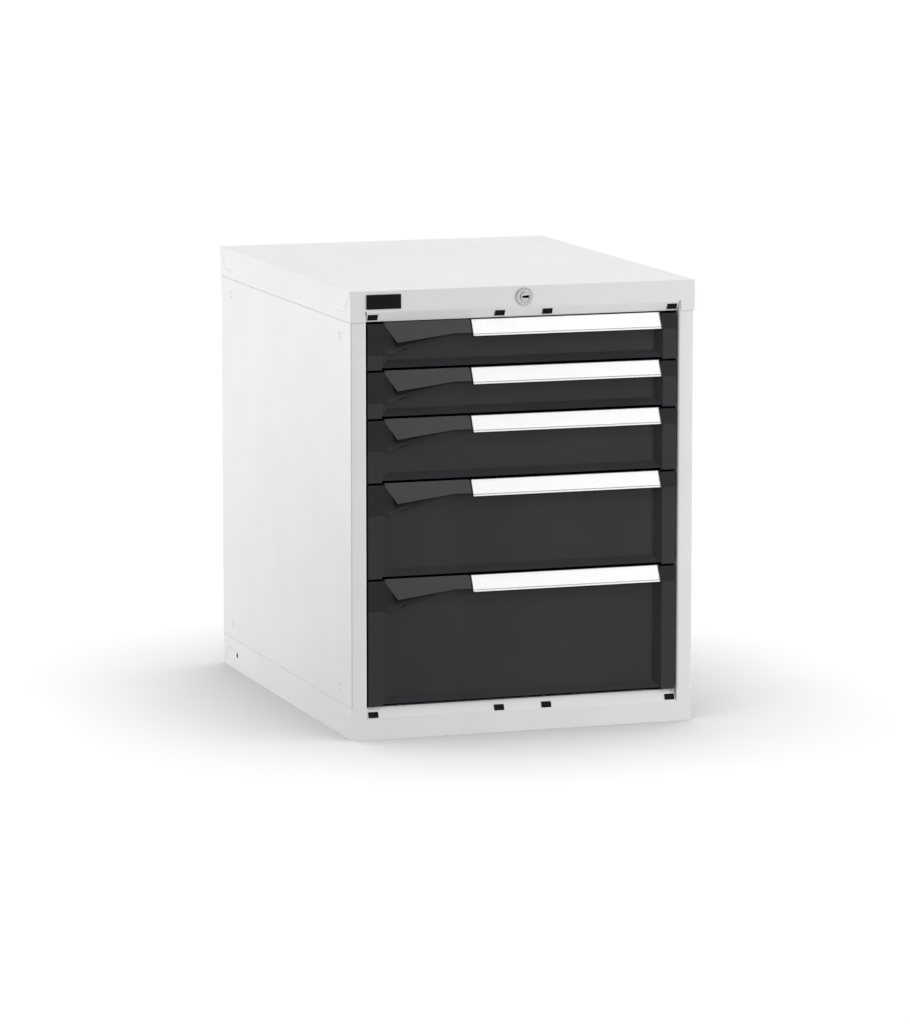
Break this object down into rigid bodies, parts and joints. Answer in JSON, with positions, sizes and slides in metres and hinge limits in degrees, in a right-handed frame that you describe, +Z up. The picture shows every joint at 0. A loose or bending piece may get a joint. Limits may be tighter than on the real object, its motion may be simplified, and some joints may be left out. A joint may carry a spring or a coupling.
{
  "type": "multi-drawer workshop cabinet",
  "caption": "Steel workshop cabinet with a stack of full-extension drawers of rising height, sloping label handles and one central lock under its flanged top.",
  "frame": {"origin": "on the floor, under the middle of the housing", "axes": "+X to the right seen from the front, +Y from the front to the back, +Z up"},
  "size_m": [0.564, 0.7348, 0.7],
  "materials": {
    "housing_paint": "off-white powder coat with a fine grain, satin",
    "drawer_paint": "anthracite powder coat with a fine grain, satin",
    "deep_black_plastic": "dull black plastic, finely grained",
    "black_plastic": "moulded black plastic, finely grained",
    "white_plastic": "moulded off-white plastic, smooth",
    "label_card": "blank white card",
    "label_cover": "clear glossy plastic strip",
    "zinc": "zinc-plated steel",
    "chrome": "polished chrome"
  },
  "bodies": {
    "housing": {"top_cover": "housing_paint", "base_tray": "housing_paint", "left_side_panel": "housing_paint", "right_side_panel": "housing_paint", "back_panel": "housing_paint", "back_panel_screws": "zinc", "uprights": "zinc", "cabinet_runners": "zinc", "side_hole_caps": "white_plastic", "slot_plugs": "deep_black_plastic", "name_plate": "deep_black_plastic", "lock_housing": "chrome", "lock_nut": "zinc", "rod_bracket": "zinc", "bar_guides": "zinc", "bar_channel": "zinc"},
    "lock": {"lock_plug": "chrome", "lock_rod": "zinc"},
    "locking_bar": {"locking_bar": "zinc"},
    "drawer_1": {"drawer_1_tray": "drawer_paint", "drawer_1_front": "drawer_paint", "drawer_1_handle": "black_plastic", "drawer_1_handle_ends": "black_plastic", "drawer_1_label_card": "label_card", "drawer_1_label_cover": "label_cover", "drawer_1_inner_runners": "zinc"},
    "runner_1": {"drawer_1_middle_runners": "zinc"},
    "drawer_2": {"drawer_2_tray": "drawer_paint", "drawer_2_front": "drawer_paint", "drawer_2_handle": "black_plastic", "drawer_2_handle_ends": "black_plastic", "drawer_2_label_card": "label_card", "drawer_2_label_cover": "label_cover", "drawer_2_inner_runners": "zinc"},
    "runner_2": {"drawer_2_middle_runners": "zinc"},
    "drawer_3": {"drawer_3_tray": "drawer_paint", "drawer_3_front": "drawer_paint", "drawer_3_handle": "black_plastic", "drawer_3_handle_ends": "black_plastic", "drawer_3_label_card": "label_card", "drawer_3_label_cover": "label_cover", "drawer_3_inner_runners": "zinc"},
    "runner_3": {"drawer_3_middle_runners": "zinc"},
    "drawer_4": {"drawer_4_tray": "drawer_paint", "drawer_4_front": "drawer_paint", "drawer_4_handle": "black_plastic", "drawer_4_handle_ends": "black_plastic", "drawer_4_label_card": "label_card", "drawer_4_label_cover": "label_cover", "drawer_4_inner_runners": "zinc"},
    "runner_4": {"drawer_4_middle_runners": "zinc"},
    "drawer_5": {"drawer_5_tray": "drawer_paint", "drawer_5_front": "drawer_paint", "drawer_5_handle": "black_plastic", "drawer_5_handle_ends": "black_plastic", "drawer_5_label_card": "label_card", "drawer_5_label_cover": "label_cover", "drawer_5_inner_runners": "zinc"},
    "runner_5": {"drawer_5_middle_runners": "zinc"}
  },
  "joints": [
    {"name": "lock_turn", "type": "hinge", "parent": "housing", "child": "lock", "pos_m": [0, 0, 0.683], "axis": [0, 1, 0], "range_deg": [0, 90]},
    {"name": "bar_slide", "type": "slide", "parent": "housing", "child": "locking_bar", "axis": [0, 0, -1], "range_m": [0, 0.01273]},
    {"name": "drawer_1_slide", "type": "slide", "parent": "housing", "child": "drawer_1", "axis": [0, -1, 0], "range_m": [0, 0.612]},
    {"name": "runner_1_slide", "type": "slide", "parent": "housing", "child": "runner_1", "axis": [0, -1, 0], "range_m": [0, 0.306]},
    {"name": "drawer_2_slide", "type": "slide", "parent": "housing", "child": "drawer_2", "axis": [0, -1, 0], "range_m": [0, 0.612]},
    {"name": "runner_2_slide", "type": "slide", "parent": "housing", "child": "runner_2", "axis": [0, -1, 0], "range_m": [0, 0.306]},
    {"name": "drawer_3_slide", "type": "slide", "parent": "housing", "child": "drawer_3", "axis": [0, -1, 0], "range_m": [0, 0.612]},
    {"name": "runner_3_slide", "type": "slide", "parent": "housing", "child": "runner_3", "axis": [0, -1, 0], "range_m": [0, 0.306]},
    {"name": "drawer_4_slide", "type": "slide", "parent": "housing", "child": "drawer_4", "axis": [0, -1, 0], "range_m": [0, 0.612]},
    {"name": "runner_4_slide", "type": "slide", "parent": "housing", "child": "runner_4", "axis": [0, -1, 0], "range_m": [0, 0.306]},
    {"name": "drawer_5_slide", "type": "slide", "parent": "housing", "child": "drawer_5", "axis": [0, -1, 0], "range_m": [0, 0.612]},
    {"name": "runner_5_slide", "type": "slide", "parent": "housing", "child": "runner_5", "axis": [0, -1, 0], "range_m": [0, 0.306]}
  ],
  "couplings": [
    {"joint": "lock_turn", "follows": "bar_slide", "rad_per_m": 123.42},
    {"joint": "runner_1_slide", "follows": "drawer_1_slide", "ratio": 0.5},
    {"joint": "runner_2_slide", "follows": "drawer_2_slide", "ratio": 0.5},
    {"joint": "runner_3_slide", "follows": "drawer_3_slide", "ratio": 0.5},
    {"joint": "runner_4_slide", "follows": "drawer_4_slide", "ratio": 0.5},
    {"joint": "runner_5_slide", "follows": "drawer_5_slide", "ratio": 0.5}
  ]
}
